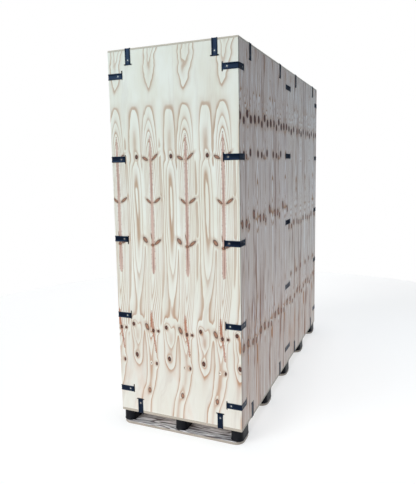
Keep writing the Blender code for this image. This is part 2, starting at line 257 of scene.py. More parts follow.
SIDE_FIGURE = Figure(
    turn=0.386,
    column_gap=0.193,
    pith_rings=[(0, 5.5), (0.45, 5.0), (0.54, 3.6), (0.66, 5.4), (1.20, 7.0), (1.36, 5.0), (1.50, 7.0),
                (1.72, 6.6), (1.80, 5.4), (1.92, 6.4), (2.02, 3.6), (2.14, 5.0), (2.46, 6.5)],
    column_rings=[(0, 3.4), (0.45, 3.0), (0.53, 1.8), (0.64, 3.4), (1.20, 4.6), (1.35, 3.0), (1.50, 4.4),
                  (1.76, 3.4), (1.95, 3.8), (2.03, 1.6), (2.14, 3.0), (2.46, 4.2)],
    pointed=[(0, 1.2), (0.60, 2.0), (1.25, 2.6), (1.60, 1.0), (1.90, 2.4), (2.46, 2.8)],
    drift=[(0, -0.02), (0.60, 0.0), (1.20, 0.015), (2.46, 0.0)],
    pith_width=[(0, -0.012), (1.50, -0.011), (2.46, -0.012)],
    pith_path=[(0, 0.0), (1.0, 0.002), (2.46, 0.0)],
    dark_knots=[Mark(-0.140, 2.015, 0.020, 0.026, 4), Mark(-0.068, 1.990, 0.019, 0.024, 0),
                Mark(0.0, 2.035, 0.023, 0.026, -4), Mark(0.073, 2.005, 0.023, 0.028, 0),
                Mark(0.157, 2.012, 0.023, 0.030, 0), Mark(-0.160, 1.789, 0.019, 0.024, 6),
                Mark(-0.072, 1.783, 0.019, 0.022, -6), Mark(0.058, 1.796, 0.020, 0.026, 0)],
    brown_knots=[Mark(-0.020, 1.770, 0.015, 0.018, 0), Mark(-0.113, 1.352, 0.020, 0.030, 12),
                 Mark(-0.032, 1.350, 0.020, 0.028, -8), Mark(0.022, 1.325, 0.018, 0.020, 0),
                 Mark(0.128, 1.392, 0.024, 0.034, 14), Mark(-0.105, 0.549, 0.024, 0.030, -8),
                 Mark(-0.014, 0.553, 0.024, 0.030, 10), Mark(0.090, 0.527, 0.020, 0.024, 0),
                 Mark(0.172, 0.512, 0.019, 0.022, 0)],
)

# The rear sheet of each long side is from further in the same log, with its knots at other heights.
REAR_FIGURE = SIDE_FIGURE._replace(
    dark_knots=[Mark(-0.150, 2.000, 0.020, 0.028, 4), Mark(-0.060, 2.005, 0.020, 0.024, 0),
                Mark(0.020, 1.985, 0.023, 0.028, -4), Mark(0.110, 2.010, 0.020, 0.026, 0)],
    brown_knots=[Mark(-0.130, 1.205, 0.020, 0.026, 10), Mark(-0.050, 1.190, 0.020, 0.024, -8),
                 Mark(0.045, 1.185, 0.019, 0.022, 0), Mark(0.130, 1.210, 0.023, 0.026, 10),
                 Mark(-0.140, 0.760, 0.018, 0.020, 0), Mark(0.030, 0.770, 0.019, 0.022, 8),
                 Mark(-0.110, 0.560, 0.023, 0.026, -8), Mark(0.0, 0.550, 0.023, 0.024, 10),
                 Mark(0.085, 0.508, 0.019, 0.020, 0), Mark(0.165, 0.535, 0.019, 0.022, 0)])

# Where one sheet was cut from its log: the axes across and along its grain and through its
# thickness, where its turns are centred, how far up its figure starts, the seed of its noise, how
# dark its upright streaks and its grain lines are, how much painted pink shade it takes (a tint that
# stands in for the mauve light in shade, strongest on the right-hand sheets that stand in shade) and
# how dark its edges are.
Sheet = namedtuple("Sheet", "figure across along through centre start seed streaks contrast blush "
                            "edge")

CREAM = rgb(241, 241, 230)
PALE = rgb(249, 252, 246)
# Painted shade: a pink tint that stands in for the mauve light falling on the sheets in shade.
SHADE_PINK_PAINT = rgb(228, 208, 214)
# Greyer and darker towards the bottom of each sheet.
LOWER_GREY = rgb(204, 200, 194)
LATEWOOD = rgb(184, 148, 120)
LOW_LATEWOOD = rgb(178, 128, 92)
STAIN = rgb(214, 172, 142)
STREAK = rgb(138, 96, 84)
PITH = rgb(206, 166, 154)
LOW_PITH = rgb(178, 108, 76)
PITH_LINE = rgb(138, 86, 72)
BROWN_HEART = rgb(160, 104, 76)
DARK_HEART = rgb(104, 60, 46)
KNOT_RIM = rgb(66, 30, 26)
PLY_PALE = rgb(222, 214, 200)
PLY_DARK = rgb(110, 94, 82)

# How dark a grain line is from one ring to the next, as (place in the ring, darkness).
GROWTH_RING = [(0.0, 0.0), (0.36, 0.06), (0.66, 0.30), (0.86, 1.0), (0.95, 0.95), (1.0, 0.0)]
WEATHERED_RING = [(0.0, 0.0), (0.40, 0.15), (0.70, 1.0), (0.88, 1.0), (1.0, 0.0)]


def nearest_mark(graph, marks, figure, across, along, ragged):
    """How far each place is from its nearest mark, where 1 is the mark's outline."""
    nearest = None
    for mark in marks:
        turned = graph.math("WRAP", across, mark.across + figure.turn / 2,
                            mark.across - figure.turn / 2)
        place = graph.add("ShaderNodeMapping", vector_type="TEXTURE")
        graph.feed(place.inputs["Vector"], graph.vector(turned, along))
        place.inputs["Location"].default_value = (mark.across, mark.height, 0)
        place.inputs["Rotation"].default_value = (0, 0, math.radians(mark.lean))
        place.inputs["Scale"].default_value = (mark.half_width, mark.half_length, 1)
        length = graph.add("ShaderNodeVectorMath", operation="LENGTH")
        graph.feed(length.inputs[0], place.outputs[0])
        distance = length.outputs["Value"]
        nearest = distance if nearest is None else graph.math("MINIMUM", nearest, distance)
    return graph.math("MULTIPLY_ADD", ragged, RAGGEDNESS, nearest)


def ridge(graph, figure, rings, centre, half_width, roundness, across, along, pointed):
    """Rings of one ridge a turn: highest on its centre line with even flanks, pointed downwards by
    how steep pointed is."""
    away = graph.math("ABSOLUTE", graph.math("WRAP", graph.math("SUBTRACT", across, centre),
                                             figure.turn / 2, -figure.turn / 2))
    lowered = graph.math("SUBTRACT", along, graph.math("MULTIPLY", away, pointed))
    height = graph.curve(lowered, rings, SHEET_SPAN)
    rounded = graph.math("SQRT", graph.math("MULTIPLY_ADD", away, away, roundness ** 2))
    shape = graph.math("MULTIPLY_ADD", rounded, -1 / half_width, 1 + roundness / half_width)
    flanks = graph.math("SUBTRACT", graph.math("SMOOTH_MAX", shape, 0.0, RIDGE_EASING), VALLEY)
    return graph.math("MULTIPLY", height, flanks)


def veneer(name, sheet):
    """Rotary-cut softwood on a board's faces, and its plies on the edges."""
    graph = Graph(name)
    figure = sheet.figure
    coordinates = graph.add("ShaderNodeTexCoord")
    place, facing = (graph.add("ShaderNodeSeparateXYZ") for _ in range(2))
    graph.feed(place.inputs[0], coordinates.outputs["Object"])
    graph.feed(facing.inputs[0], coordinates.outputs["Normal"])
    across = graph.math("SUBTRACT", place.outputs[sheet.across], sheet.centre)
    along = graph.math("SUBTRACT", place.outputs[sheet.along], sheet.start)
    through = place.outputs[sheet.through]

    # The log's own coordinates: a point comes back after each turn, only a little changed.
    angle = graph.math("MULTIPLY", across, math.tau / figure.turn)
    log_radius = figure.turn / math.tau
    round_log = graph.vector(
        graph.math("MULTIPLY", graph.math("COSINE", angle), log_radius),
        graph.math("MULTIPLY", graph.math("SINE", angle), log_radius),
        graph.math("MULTIPLY", along, 0.14))
    later = graph.math("MULTIPLY_ADD", across, 0.55, sheet.seed)
    broad = graph.noise(round_log, 9.0, 1.0, 0.4, later)
    wavy = graph.noise(round_log, 30.0, 2.0, 0.5, later)
    wobble = graph.noise(graph.vector(across, along, sheet.seed), 9.0, 2.0, 0.5)
    ragged = graph.noise(graph.vector(across, along, sheet.seed), 160.0, 2.0, 0.6)

    # Grain lines: contours of the two ridges, of the swelling round each knot and of the peel.
    drift = graph.curve(along, figure.drift, SHEET_SPAN)
    drifted = graph.total(across, graph.math("MULTIPLY", drift, -1.0),
                          graph.math("MULTIPLY", wavy, 0.006), graph.math("MULTIPLY", broad, 0.016),
                          graph.math("MULTIPLY", graph.math("MULTIPLY", wobble, 0.024),
                                     graph.smooth(along, 2.10, 2.30)))
    pointed = graph.curve(along, figure.pointed, SHEET_SPAN)
    pith_ridge = ridge(graph, figure, figure.pith_rings, 0.0, figure.turn * 0.20, figure.turn * 0.05,
                       drifted, along, pointed)
    column = ridge(graph, figure, figure.column_rings, figure.column_gap, figure.turn * 0.145,
                   figure.turn * 0.15, drifted, along, pointed)
    dark = nearest_mark(graph, figure.dark_knots, figure, across, along, ragged)
    brown = nearest_mark(graph, figure.brown_knots, figure, across, along, ragged)
    nearest = graph.math("MINIMUM", dark, brown)
    swelling, slight_swelling = (
        graph.math("EXPONENT", graph.math("MULTIPLY", graph.math("POWER", distance, 2.0), -0.22))
        for distance in (dark, brown))
    rings = graph.total(
        pith_ridge, column,
        graph.math("MULTIPLY", swelling, 0.9),
        graph.math("MULTIPLY", slight_swelling, 0.35),
        graph.math("MULTIPLY", broad, 0.20),
        graph.math("MULTIPLY", wavy, 0.16),
        graph.math("MULTIPLY", across, 0.16),
        0.30)
    phase = graph.math("FRACT", rings)
    line = graph.ramp(phase, GROWTH_RING)
    each_ring = graph.add("ShaderNodeTexWhiteNoise", noise_dimensions="1D")
    graph.feed(each_ring.inputs["W"], graph.math("FLOOR", rings))
    strength = graph.total(graph.math("MULTIPLY", graph.noise(round_log, 18.0, 1.0, 0.5, later), 0.30),
                           graph.math("MULTIPLY_ADD", each_ring.outputs["Value"], 0.35, 0.55))
    line = graph.math("MULTIPLY", line, graph.math("MULTIPLY", strength, sheet.contrast), clamp=True)

    # Fine fibres, a soft cloudiness, then the grain lines over them.
    fibre_place = graph.vector(graph.math("DIVIDE", across, FIBRE_PITCH),
                               graph.math("MULTIPLY", along, 9.0), sheet.seed)
    fibre = graph.noise(fibre_place, 1.0, 3.0, 0.6)
    cloud_place = graph.vector(across, graph.math("MULTIPLY", along, 0.35), sheet.seed)
    cloud = graph.noise(cloud_place, 7.0, 3.0, 0.55)
    colour = graph.mix(graph.smooth(cloud, -0.35, 0.45), CREAM, PALE)
    # Painted shade: each sheet takes its own amount of the pink tint that stands in for the mauve light in
    # shade.
    colour = graph.mix(sheet.blush, colour, SHADE_PINK_PAINT)
    # Greyer and darker towards the bottom of each sheet, fading out 1.3 m up.
    colour = graph.mix(graph.math("MULTIPLY", graph.smooth(along, 1.3, 0.2), 0.42), colour, LOWER_GREY)
    colour = graph.mix(graph.math("MULTIPLY_ADD", fibre, 0.10, 0.03, clamp=True), colour, LATEWOOD)
    streak_place = graph.vector(graph.math("MULTIPLY_ADD", broad, 0.05, drifted),
                                graph.math("MULTIPLY", along, 0.06), sheet.seed)
    streak = graph.smooth(graph.noise(streak_place, 13.0, 4.0, 0.75), 0.02, 0.30)
    lower = graph.math("MULTIPLY_ADD", graph.smooth(along, 1.5, 0.9), 0.35, 0.75)
    streak = graph.math("MULTIPLY", streak, graph.math("MULTIPLY", lower, sheet.streaks), clamp=True)
    colour = graph.mix(streak, colour, STREAK)
    stain = graph.math("MULTIPLY", graph.smooth(cloud, 0.0, 0.45), graph.smooth(along, 0.75, 0.15))
    colour = graph.mix(graph.math("MULTIPLY", stain, 0.40), colour, STAIN)
    latewood = graph.mix(graph.smooth(along, 0.95, 0.60), LATEWOOD, LOW_LATEWOOD)
    colour = graph.mix(line, colour, latewood)

    # The pith stripe, with a thin darker line along part of it and a dotted outline.
    width = graph.curve(along, figure.pith_width, SHEET_SPAN)
    path = graph.curve(along, figure.pith_path, SHEET_SPAN)
    off_pith = graph.math("ABSOLUTE", graph.math(
        "WRAP", graph.total(across, graph.math("MULTIPLY", path, -1.0), graph.math("MULTIPLY", wavy, 0.0015)),
        figure.turn / 2, -figure.turn / 2))
    inside = graph.math("SUBTRACT", graph.math("MULTIPLY_ADD", ragged, 0.0030, width), off_pith)
    pith = graph.mix(graph.smooth(along, 0.95, 0.80), PITH, LOW_PITH)
    colour = graph.mix(graph.math("MULTIPLY", graph.smooth(inside, -0.0015, 0.0025), 0.75), colour, pith)
    on_outline = graph.smooth(graph.math("ABSOLUTE", inside), 0.0036, 0.0012)
    dots = graph.smooth(graph.noise(graph.vector(across, graph.math("MULTIPLY", along, 1.3), sheet.seed),
                                    120.0, 1.0), 0.06, 0.24)
    dotted = graph.math("MULTIPLY", on_outline, graph.math("MULTIPLY", dots, 0.9))
    colour = graph.mix(dotted, colour, PITH_LINE)
    core = graph.smooth(graph.total(inside, graph.math("MULTIPLY", width, -0.62)), 0.0, 0.002)
    partly = graph.smooth(graph.noise(round_log, 12.0, 1.0, 0.5, graph.math("ADD", later, 3.0)), -0.15, 0.25)
    colour = graph.mix(graph.math("MULTIPLY", core, graph.math("MULTIPLY", partly, 0.8)), colour, PITH_LINE)

    # Knots: a stained halo, a dark rim and a warmer heart.
    halo = graph.smooth(nearest, 2.3, 1.0)
    colour = graph.mix(graph.math("MULTIPLY", halo, 0.45), colour, LATEWOOD)
    brown_heart = graph.mix(graph.smooth(brown, 0.38, 0.88), BROWN_HEART, KNOT_RIM)
    in_brown = graph.math("MULTIPLY", graph.smooth(brown, 1.15, 0.86), 0.85)
    colour = graph.mix(in_brown, colour, brown_heart)
    dark_heart = graph.mix(graph.smooth(dark, 0.20, 0.70), DARK_HEART, KNOT_RIM)
    in_dark = graph.math("MULTIPLY", graph.smooth(dark, 1.15, 0.85), 0.97)
    colour = graph.mix(in_dark, colour, dark_heart)

    # Board edges and slot walls show the plies, every other one end on.
    layer = graph.math("FRACT", graph.math("MULTIPLY_ADD", through, 0.5 / PLY, 0.25))
    end_on = graph.smooth(graph.math("ABSOLUTE", graph.math("SUBTRACT", layer, 0.5)), 0.28, 0.22)
    edge_noise = graph.noise(coordinates.outputs["Object"], 220.0, 3.0, 0.65)
    ply_shade = graph.math("MULTIPLY_ADD", end_on, 0.35, sheet.edge)
    edge = graph.mix(graph.math("MULTIPLY_ADD", edge_noise, 0.25, ply_shade, clamp=True), PLY_PALE, PLY_DARK)
    on_face = graph.smooth(graph.math("ABSOLUTE", facing.outputs[sheet.through]), 0.55, 0.80)
    colour = graph.mix(on_face, edge, colour)

    roughness = graph.math("MULTIPLY_ADD", fibre, 0.06, graph.math("MULTIPLY_ADD", line, -0.08, 0.62))
    relief = graph.total(graph.math("MULTIPLY", fibre, 0.5), graph.math("MULTIPLY", line, 0.6),
                         graph.math("MULTIPLY", graph.smooth(nearest, 1.1, 0.8), 0.8))
    return graph.finish(colour, roughness, graph.bump(relief, 0.00035, 0.8), Specular_IOR_Level=0.35)


def weathered_skid_wood(name):
    """Grey-brown weathered plywood, its grain along the skid and its plies showing round the edge."""
    graph = Graph(name)
    coordinates = graph.add("ShaderNodeTexCoord")
    place, facing = (graph.add("ShaderNodeSeparateXYZ") for _ in range(2))
    graph.feed(place.inputs[0], coordinates.outputs["Object"])
    graph.feed(facing.inputs[0], coordinates.outputs["Normal"])
    x, y, z = place.outputs
    stretched = graph.vector(graph.math("MULTIPLY", x, 0.16), y, z)
    swirl = graph.noise(stretched, 14.0, 2.0, 0.5)
    rings = graph.math("FRACT", graph.math("MULTIPLY_ADD", swirl, 5.0, graph.math("MULTIPLY", y, 24.0)))
    line = graph.ramp(rings, WEATHERED_RING)
    fibre_place = graph.vector(graph.math("MULTIPLY", x, 12.0), graph.math("MULTIPLY", y, 420.0), z)
    fibre = graph.noise(fibre_place, 1.0, 3.0)
    blotch = graph.noise(coordinates.outputs["Object"], 9.0, 3.0, 0.6)
    grain = graph.math("MULTIPLY_ADD", fibre, 0.35, line, clamp=True)
    colour = graph.mix(grain, rgb(250, 248, 250), rgb(92, 80, 78))
    grey = graph.math("MULTIPLY_ADD", blotch, 0.5, 0.12, clamp=True)
    colour = graph.mix(grey, colour, rgb(172, 174, 184))
    layer = graph.math("FRACT", graph.math("MULTIPLY", z, 0.5 / PLY))
    stripe = graph.smooth(graph.math("ABSOLUTE", graph.math("SUBTRACT", layer, 0.5)), 0.30, 0.20)
    edge = graph.mix(graph.math("MULTIPLY_ADD", fibre, 0.3, graph.math("MULTIPLY", stripe, 0.7), clamp=True),
                     rgb(190, 182, 172), rgb(112, 98, 88))
    on_face = graph.smooth(graph.math("ABSOLUTE", facing.outputs[2]), 0.5, 0.8)
    colour = graph.mix(on_face, edge, colour)
    relief = graph.math("MULTIPLY_ADD", line, -0.6, fibre)
    return graph.finish(colour, 0.78, graph.bump(relief, 0.0006, 0.8), Specular_IOR_Level=0.25)


def moulded_plastic(name):
    """Black polypropylene with a fine spark-eroded texture and a little dust low down."""
    graph = Graph(name)
    coordinates = graph.add("ShaderNodeTexCoord")
    place = graph.add("ShaderNodeSeparateXYZ")
    graph.feed(place.inputs[0], coordinates.outputs["Object"])
    grain = graph.noise(coordinates.outputs["Object"], 900.0, 2.0, 0.5)
    scuff = graph.noise(coordinates.outputs["Object"], 60.0, 4.0, 0.65)
    dust = graph.math("MULTIPLY", graph.smooth(place.outputs[2], DECK_BOTTOM * 0.75, foot_low.z),
                      graph.smooth(scuff, -0.2, 0.7))
    greyed = graph.math("MULTIPLY_ADD", dust, 0.12, graph.math("MULTIPLY", scuff, 0.03), clamp=True)
    colour = graph.mix(greyed, rgb(4, 8, 20), rgb(60, 66, 76))
    roughness = graph.math("MULTIPLY_ADD", scuff, 0.08, 0.42)
    return graph.finish(colour, roughness, graph.bump(grain, 0.00012, 0.7), Specular_IOR_Level=0.18)


def painted_steel(name):
    """Dark blue-black coated spring steel, thinner on its rubbed rims."""
    graph = Graph(name)
    coordinates = graph.add("ShaderNodeTexCoord")
    geometry = graph.add("ShaderNodeNewGeometry")
    speckle = graph.noise(coordinates.outputs["Object"], 500.0, 3.0, 0.6)
    smear = graph.noise(coordinates.outputs["Object"], 45.0, 3.0, 0.6)
    rim = graph.smooth(graph.math("MULTIPLY_ADD", smear, 0.015, geometry.outputs["Pointiness"]), 0.53, 0.60)
    uneven = graph.math("MULTIPLY_ADD", smear, 0.35, 0.35, clamp=True)
    colour = graph.mix(uneven, rgb(4, 10, 20), rgb(8, 22, 42))
    colour = graph.mix(graph.math("MULTIPLY", rim, 0.35), colour, rgb(96, 106, 118))
    roughness = graph.math("MULTIPLY_ADD", smear, 0.10, 0.40)
    return graph.finish(colour, roughness, graph.bump(speckle, 0.00008, 0.6),
                        Specular_IOR_Level=0.30, Specular_Tint=(0.30, 0.52, 1.0, 1.0))


def zinc(name):
    """Bright zinc on the screws."""
    graph = Graph(name)
    coordinates = graph.add("ShaderNodeTexCoord")
    spangle = graph.noise(coordinates.outputs["Object"], 700.0, 3.0, 0.6)
    mottled = graph.math("MULTIPLY_ADD", spangle, 0.4, 0.4, clamp=True)
    colour = graph.mix(mottled, rgb(190, 186, 172), rgb(142, 138, 128))
    return graph.finish(colour, graph.math("MULTIPLY_ADD", spangle, 0.1, 0.38),
                        graph.bump(spangle, 0.00005, 0.5), Metallic=0.9)


# ================================================================ mesh helpers
def link(name, data, matrix=Matrix.Identity(4)):
    obj = bpy.data.objects.new(name, data)
    bpy.context.scene.collection.objects.link(obj)
    obj.matrix_world = matrix
    return obj


def evaluated(obj):
    """The object's mesh with its modifiers applied; the object itself is removed."""
    graph = bpy.context.evaluated_depsgraph_get()
    graph.update()
    mesh = bpy.data.meshes.new_from_object(obj.evaluated_get(graph))
    bpy.data.objects.remove(obj, do_unlink=True)
    return mesh


def smooth_mesh(mesh, angle=35):
    mesh.shade_smooth()
    mesh.set_sharp_from_angle(angle=math.radians(angle))


def rounded_outline(width, depth, corner, segments=10):
    """Points round a rectangle with rounded corners, in the XY plane."""
    points = []
    for quarter, (sx, sy) in enumerate(((1, 1), (-1, 1), (-1, -1), (1, -1))):
        centre = Vector((sx * (width / 2 - corner), sy * (depth / 2 - corner)))
        for step in range(segments + 1):
            angle = math.radians(90 * (quarter + step / segments))
            points.append(centre + corner * Vector((math.cos(angle), math.sin(angle))))
    return points


def lofted_block(name, width, depth, corner, levels):
    """A closed block whose rounded outline steps in by a given inset at each level's height."""
    mesh = bpy.data.meshes.new(name)
    shape = bmesh.new()
    loops = []
    for height, inset in levels:
        outline = rounded_outline(width - 2 * inset, depth - 2 * inset, corner - inset)
        loops.append([shape.verts.new((p.x, p.y, height)) for p in outline])
    for lower, upper in zip(loops, loops[1:]):
        count = len(lower)
        for i in range(count):
            shape.faces.new((lower[i], lower[(i + 1) % count], upper[(i + 1) % count], upper[i]))
    shape.faces.new(reversed(loops[0]))
    shape.faces.new(loops[-1])
    shape.to_mesh(mesh)
    shape.free()
    smooth_mesh(mesh)
    return mesh


def frame_matrix(x_axis, y_axis, origin):
    """A placement whose local X and Y point along two directions of the frame."""
    matrix = Matrix((x_axis, y_axis, x_axis.cross(y_axis))).transposed().to_4x4()
    matrix.translation = origin
    return matrix


# ================================================================ spring clips
def eased(distance, length):
    """0 at no distance, 1 from length on."""
    t = max(0.0, min(1.0, distance / length))
    return t * t * (3 - 2 * t)


# The rims' shape across half a strip, as (part of its half width, part of their height).
RIM_PROFILE = [(0.0, 0.0), (0.50, 0.0), (0.62, 0.10), (0.70, 0.70), (0.78, 1.0), (0.90, 1.0), (0.97, 0.62),
               (1.0, 0.25)]


def pressed_strip(name, path, rims, holes):
    """Sheet steel pressed along a bent path in the XY plane. rims gives, for each point of the
    path, how much of the rims' height it has; holes are (point, direction) of the tool holes."""
    profile = [(-w, lift) for w, lift in reversed(RIM_PROFILE[1:])] + RIM_PROFILE
    mesh = bpy.data.meshes.new(name)
    shape = bmesh.new()
    rows = []
    for i, point in enumerate(path):
        before, after = path[max(i - 1, 0)], path[min(i + 1, len(path) - 1)]
        along = (after - before).normalized()
        outwards = Vector((along.y, -along.x)) * -1
        row = []
        for w, lift in profile:
            spot = point + outwards * (lift * RIM_LIFT * rims[i])
            row.append(shape.verts.new((spot.x, spot.y, w * CLIP_HALF_WIDTH)))
        rows.append(row)
    for first, second in zip(rows, rows[1:]):
        for j in range(len(profile) - 1):
            shape.faces.new((first[j], first[j + 1], second[j + 1], second[j]))
    bmesh.ops.recalc_face_normals(shape, faces=shape.faces)
    shape.to_mesh(mesh)
    shape.free()

    strip = link(name + "_blank", mesh)
    solid = strip.modifiers.new("sheet", "SOLIDIFY")
    solid.thickness = SHEET_STEEL
    solid.offset = 0.0
    solid.use_even_offset = True
    drills = []
    for n, (centre, direction) in enumerate(holes):
        drill_mesh = bpy.data.meshes.new(f"{name}_drill_{n}")
        drill_shape = bmesh.new()
        turned = Z.rotation_difference(direction).to_matrix().to_4x4()
        bmesh.ops.create_cone(drill_shape, cap_ends=True, segments=28, radius1=TOOL_HOLE_RADIUS,
                              radius2=TOOL_HOLE_RADIUS, depth=0.02, matrix=turned)
        drill_shape.to_mesh(drill_mesh)
        drill_shape.free()
        drill = link(f"{name}_drill_{n}", drill_mesh, Matrix.Translation(centre))
        cut = strip.modifiers.new("tool_hole", "BOOLEAN")
        cut.object = drill
        cut.solver = "EXACT"
        drills.append(drill)
    edges = strip.modifiers.new("edges", "BEVEL")
    edges.width = STEEL_EDGE
    edges.segments = 2
    edges.limit_method = "ANGLE"
    edges.angle_limit = math.radians(50)
    pressed = evaluated(strip)
    for drill in drills:
        bpy.data.objects.remove(drill, do_unlink=True)
    pressed.name = name
    smooth_mesh(pressed, 30)
    return pressed


def arm_steps(start, end, count):
    """Evenly spaced points along a clip's arm, for its rims to ease in and out."""
    return [start.lerp(end, i / (count - 1)) for i in range(count)]


def corner_clip_mesh():
    """An L clip in its hinge frame: its faces are x = 0 and y = -CLIP_ARM, and the hook at the
    origin is the one that it turns on."""
    middle = GAP + SHEET_STEEL / 2
    far = -CLIP_ARM
    radius = BEND_RADIUS - SHEET_STEEL / 2
    corner = Vector((middle - radius, far - middle + radius))
    bend = [corner + radius * Vector((math.cos(math.radians(-a)), math.sin(math.radians(-a))))
            for a in range(0, 91, 15)]
    path = [Vector((-HOOK_REACH, 0.0)), Vector((-HOOK_REACH / 2, 0.0)),
            Vector((middle - 0.0006, -0.0001)), Vector((middle, -0.0009))]
    path += arm_steps(Vector((middle, -0.004)), Vector((middle, corner.y + 0.002)), 14) + bend
    path += arm_steps(Vector((corner.x - 0.002, far - middle)), Vector((far + 0.004, far - middle)), 14)
    path += [Vector((far + 0.0009, far - middle)), Vector((far + 0.0001, far - middle + 0.0006)),
             Vector((far, far + HOOK_REACH / 2)), Vector((far, far + HOOK_REACH))]
    rims = [eased(min(-p.y, p.x - far) - 0.003, 0.010) for p in path]
    holes = [(Vector((0, -TOOL_HOLE_INSET, 0)), X),
             (Vector((far + TOOL_HOLE_INSET, far, 0)), Y)]
    return pressed_strip("corner_clip_steel", path, rims, holes)


def splice_clip_mesh():
    """A straight clip in its hinge frame: its face is x = 0 and its far hook y = SPLICE_SPAN."""
    middle = GAP + SHEET_STEEL / 2
    far = SPLICE_SPAN
    path = [Vector((-HOOK_REACH, far)), Vector((-HOOK_REACH / 2, far)),
            Vector((middle - 0.0006, far - 0.0001)), Vector((middle, far - 0.0009))]
    path += arm_steps(Vector((middle, far - 0.004)), Vector((middle, 0.004)), 22)
    path += [Vector((middle, 0.0009)), Vector((middle - 0.0006, 0.0001)),
             Vector((-HOOK_REACH / 2, 0.0)), Vector((-HOOK_REACH, 0.0))]
    rims = [eased(min(p.y, far - p.y) - 0.003, 0.010) for p in path]
    holes = [(Vector((0, TOOL_HOLE_INSET, 0)), X), (Vector((0, far - TOOL_HOLE_INSET, 0)), X)]
    return pressed_strip("splice_clip_steel", path, rims, holes)


def box_middle(node):
    low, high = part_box(node)
    return (low + high) / 2


def clip_row(title, body, mesh, face_normal, towards_corner, line, along, ends, count, between=()):
    """Clips that turn on line with their body. The outermost stand at the row's two CAD nodes, and
    the others are evenly spaced between them unless between says where they stand."""
    first, last = (box_middle(node).dot(along) for node in ends)
    places = [first + (last - first) * i / (count - 1) for i in range(count)]
    places[1:-1] = between or places[1:-1]
    for i, reach in enumerate(places):
        origin = line - along * line.dot(along) + along * reach
        clip = link(f"{title}_{i + 1}", mesh, frame_matrix(face_normal, -towards_corner, origin))
        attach(clip, body)
        if i == 0:
            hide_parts(ends[0])
        if i == count - 1:
            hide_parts(ends[1])


INNER_SIDE_CLIP_Y = 0.265   # the lid's and deck's two middle clips on a long side, from mid length
CLIPS_PER_CORNER = 5


def build_clips(steel):
    corner, splice = corner_clip_mesh(), splice_clip_mesh()
    for mesh in (corner, splice):
        mesh.materials.clear()
        mesh.materials.append(steel)

    for end_name, end in (("front", -Y), ("rear", Y)):
        for side_name, side in (("left", -X), ("right", X)):
            where = f"{end_name}_{side_name}"
            line = side * HALF_WIDTH + end * (HALF_LENGTH - CLIP_ARM)
            clip_row(f"spring_clip_{where}", f"corner_clips_{where}", corner, side, end, line, Z,
                     (f"corner_clip_{where}_low", f"corner_clip_{where}_high"), CLIPS_PER_CORNER)

    for side_name, side in (("left", -X), ("right", X)):
        line = side * HALF_WIDTH - Y * SPLICE_SPAN / 2
        clip_row(f"splice_clip_{side_name}", f"seam_clips_{side_name}", splice, side, -Y, line, Z,
                 (f"seam_clip_{side_name}_low", f"seam_clip_{side_name}_high"), CLIPS_PER_CORNER)
    clip_row("splice_clip_lid", "lid_seam_clips", splice, Z, -Y, Z * LID_TOP - Y * SPLICE_SPAN / 2, X,
             ("lid_seam_clip_left", "lid_seam_clip_right"), 2)

    for name, outwards, edge, along, ends in (("front", -Y, HALF_LENGTH, X, ("left", "right")),
                                              ("rear", Y, HALF_LENGTH, X, ("left", "right")),
                                              ("left", -X, HALF_WIDTH, Y, ("front", "rear")),
                                              ("right", X, HALF_WIDTH, Y, ("front", "rear"))):
        for level, up, height in (("lid", Z, LID_TOP), ("base", -Z, DECK_BOTTOM)):
            line = outwards * (edge - CLIP_ARM) + Z * height
            nodes = tuple(f"{level}_clip_{name}_{end}" for end in ends)
            title, body = f"spring_clip_{level}_{name}", f"{level}_clips_{name}"
            count, between = (2, ()) if along == X else (4, (-INNER_SIDE_CLIP_Y, INNER_SIDE_CLIP_Y))
            clip_row(title, body, corner, up, outwards, line, along, nodes, count, between)


# ================================================================ base
def on_its_bottom(low, high):
    """A placement at the middle of a box's lowest face."""
    return Matrix.Translation(((low + high) / 2).xy.to_3d() + Z * low.z)


FOOT_LIP = 0.0016           # how far a foot's middle is set in from its top and bottom rims
FOOT_CORNER = 0.036
SKID_CORNER = 0.060
ROWS = ("front", "second", "middle", "fourth", "rear")
COLUMNS = ("left", "centre", "right")


def build_feet(plastic):
    """Moulded feet with a rim round the top and the bottom."""
    size = foot_high - foot_low
    height = size.z
    levels = [(0.0, 0.0022), (0.0008, 0.0009), (0.0022, 0.0), (0.0065, 0.0), (0.0078, FOOT_LIP * 0.6),
              (0.0095, FOOT_LIP), (height - 0.0085, FOOT_LIP + 0.0012), (height - 0.0070, FOOT_LIP),
              (height - 0.0060, 0.0004), (height - 0.0018, 0.0), (height - 0.0006, 0.0006), (height, 0.0018)]
    mesh = lofted_block("moulded_foot", size.x, size.y, FOOT_CORNER, levels)
    mesh.materials.append(plastic)
    for row in ROWS:
        for column in COLUMNS:
            node = f"foot_{row}_{column}"
            low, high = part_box(node)
            foot = link(f"moulded_{node}", mesh, on_its_bottom(low, high))
            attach(foot, "root")
            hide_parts(node)


def build_skids(wood):
    """Runner boards with rounded ends and eased edges."""
    size = skid_high - skid_low
    height = size.z
    levels = [(0.0, 0.0012), (0.0004, 0.0004), (0.0012, 0.0), (height - 0.0016, 0.0),
              (height - 0.0005, 0.0005), (height, 0.0016)]
    mesh = lofted_block("runner_board", size.x, size.y, SKID_CORNER, levels)
    mesh.materials.append(wood)
    for row in ROWS:
        node = f"skid_{row}"
        low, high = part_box(node)
        skid = link(f"runner_{row}", mesh, on_its_bottom(low, high))
        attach(skid, "root")
        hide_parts(node)


SCREW_RADIUS = 0.0050
SCREW_OFFSET = 0.045        # along the crate, from a foot's middle to each of its two screws


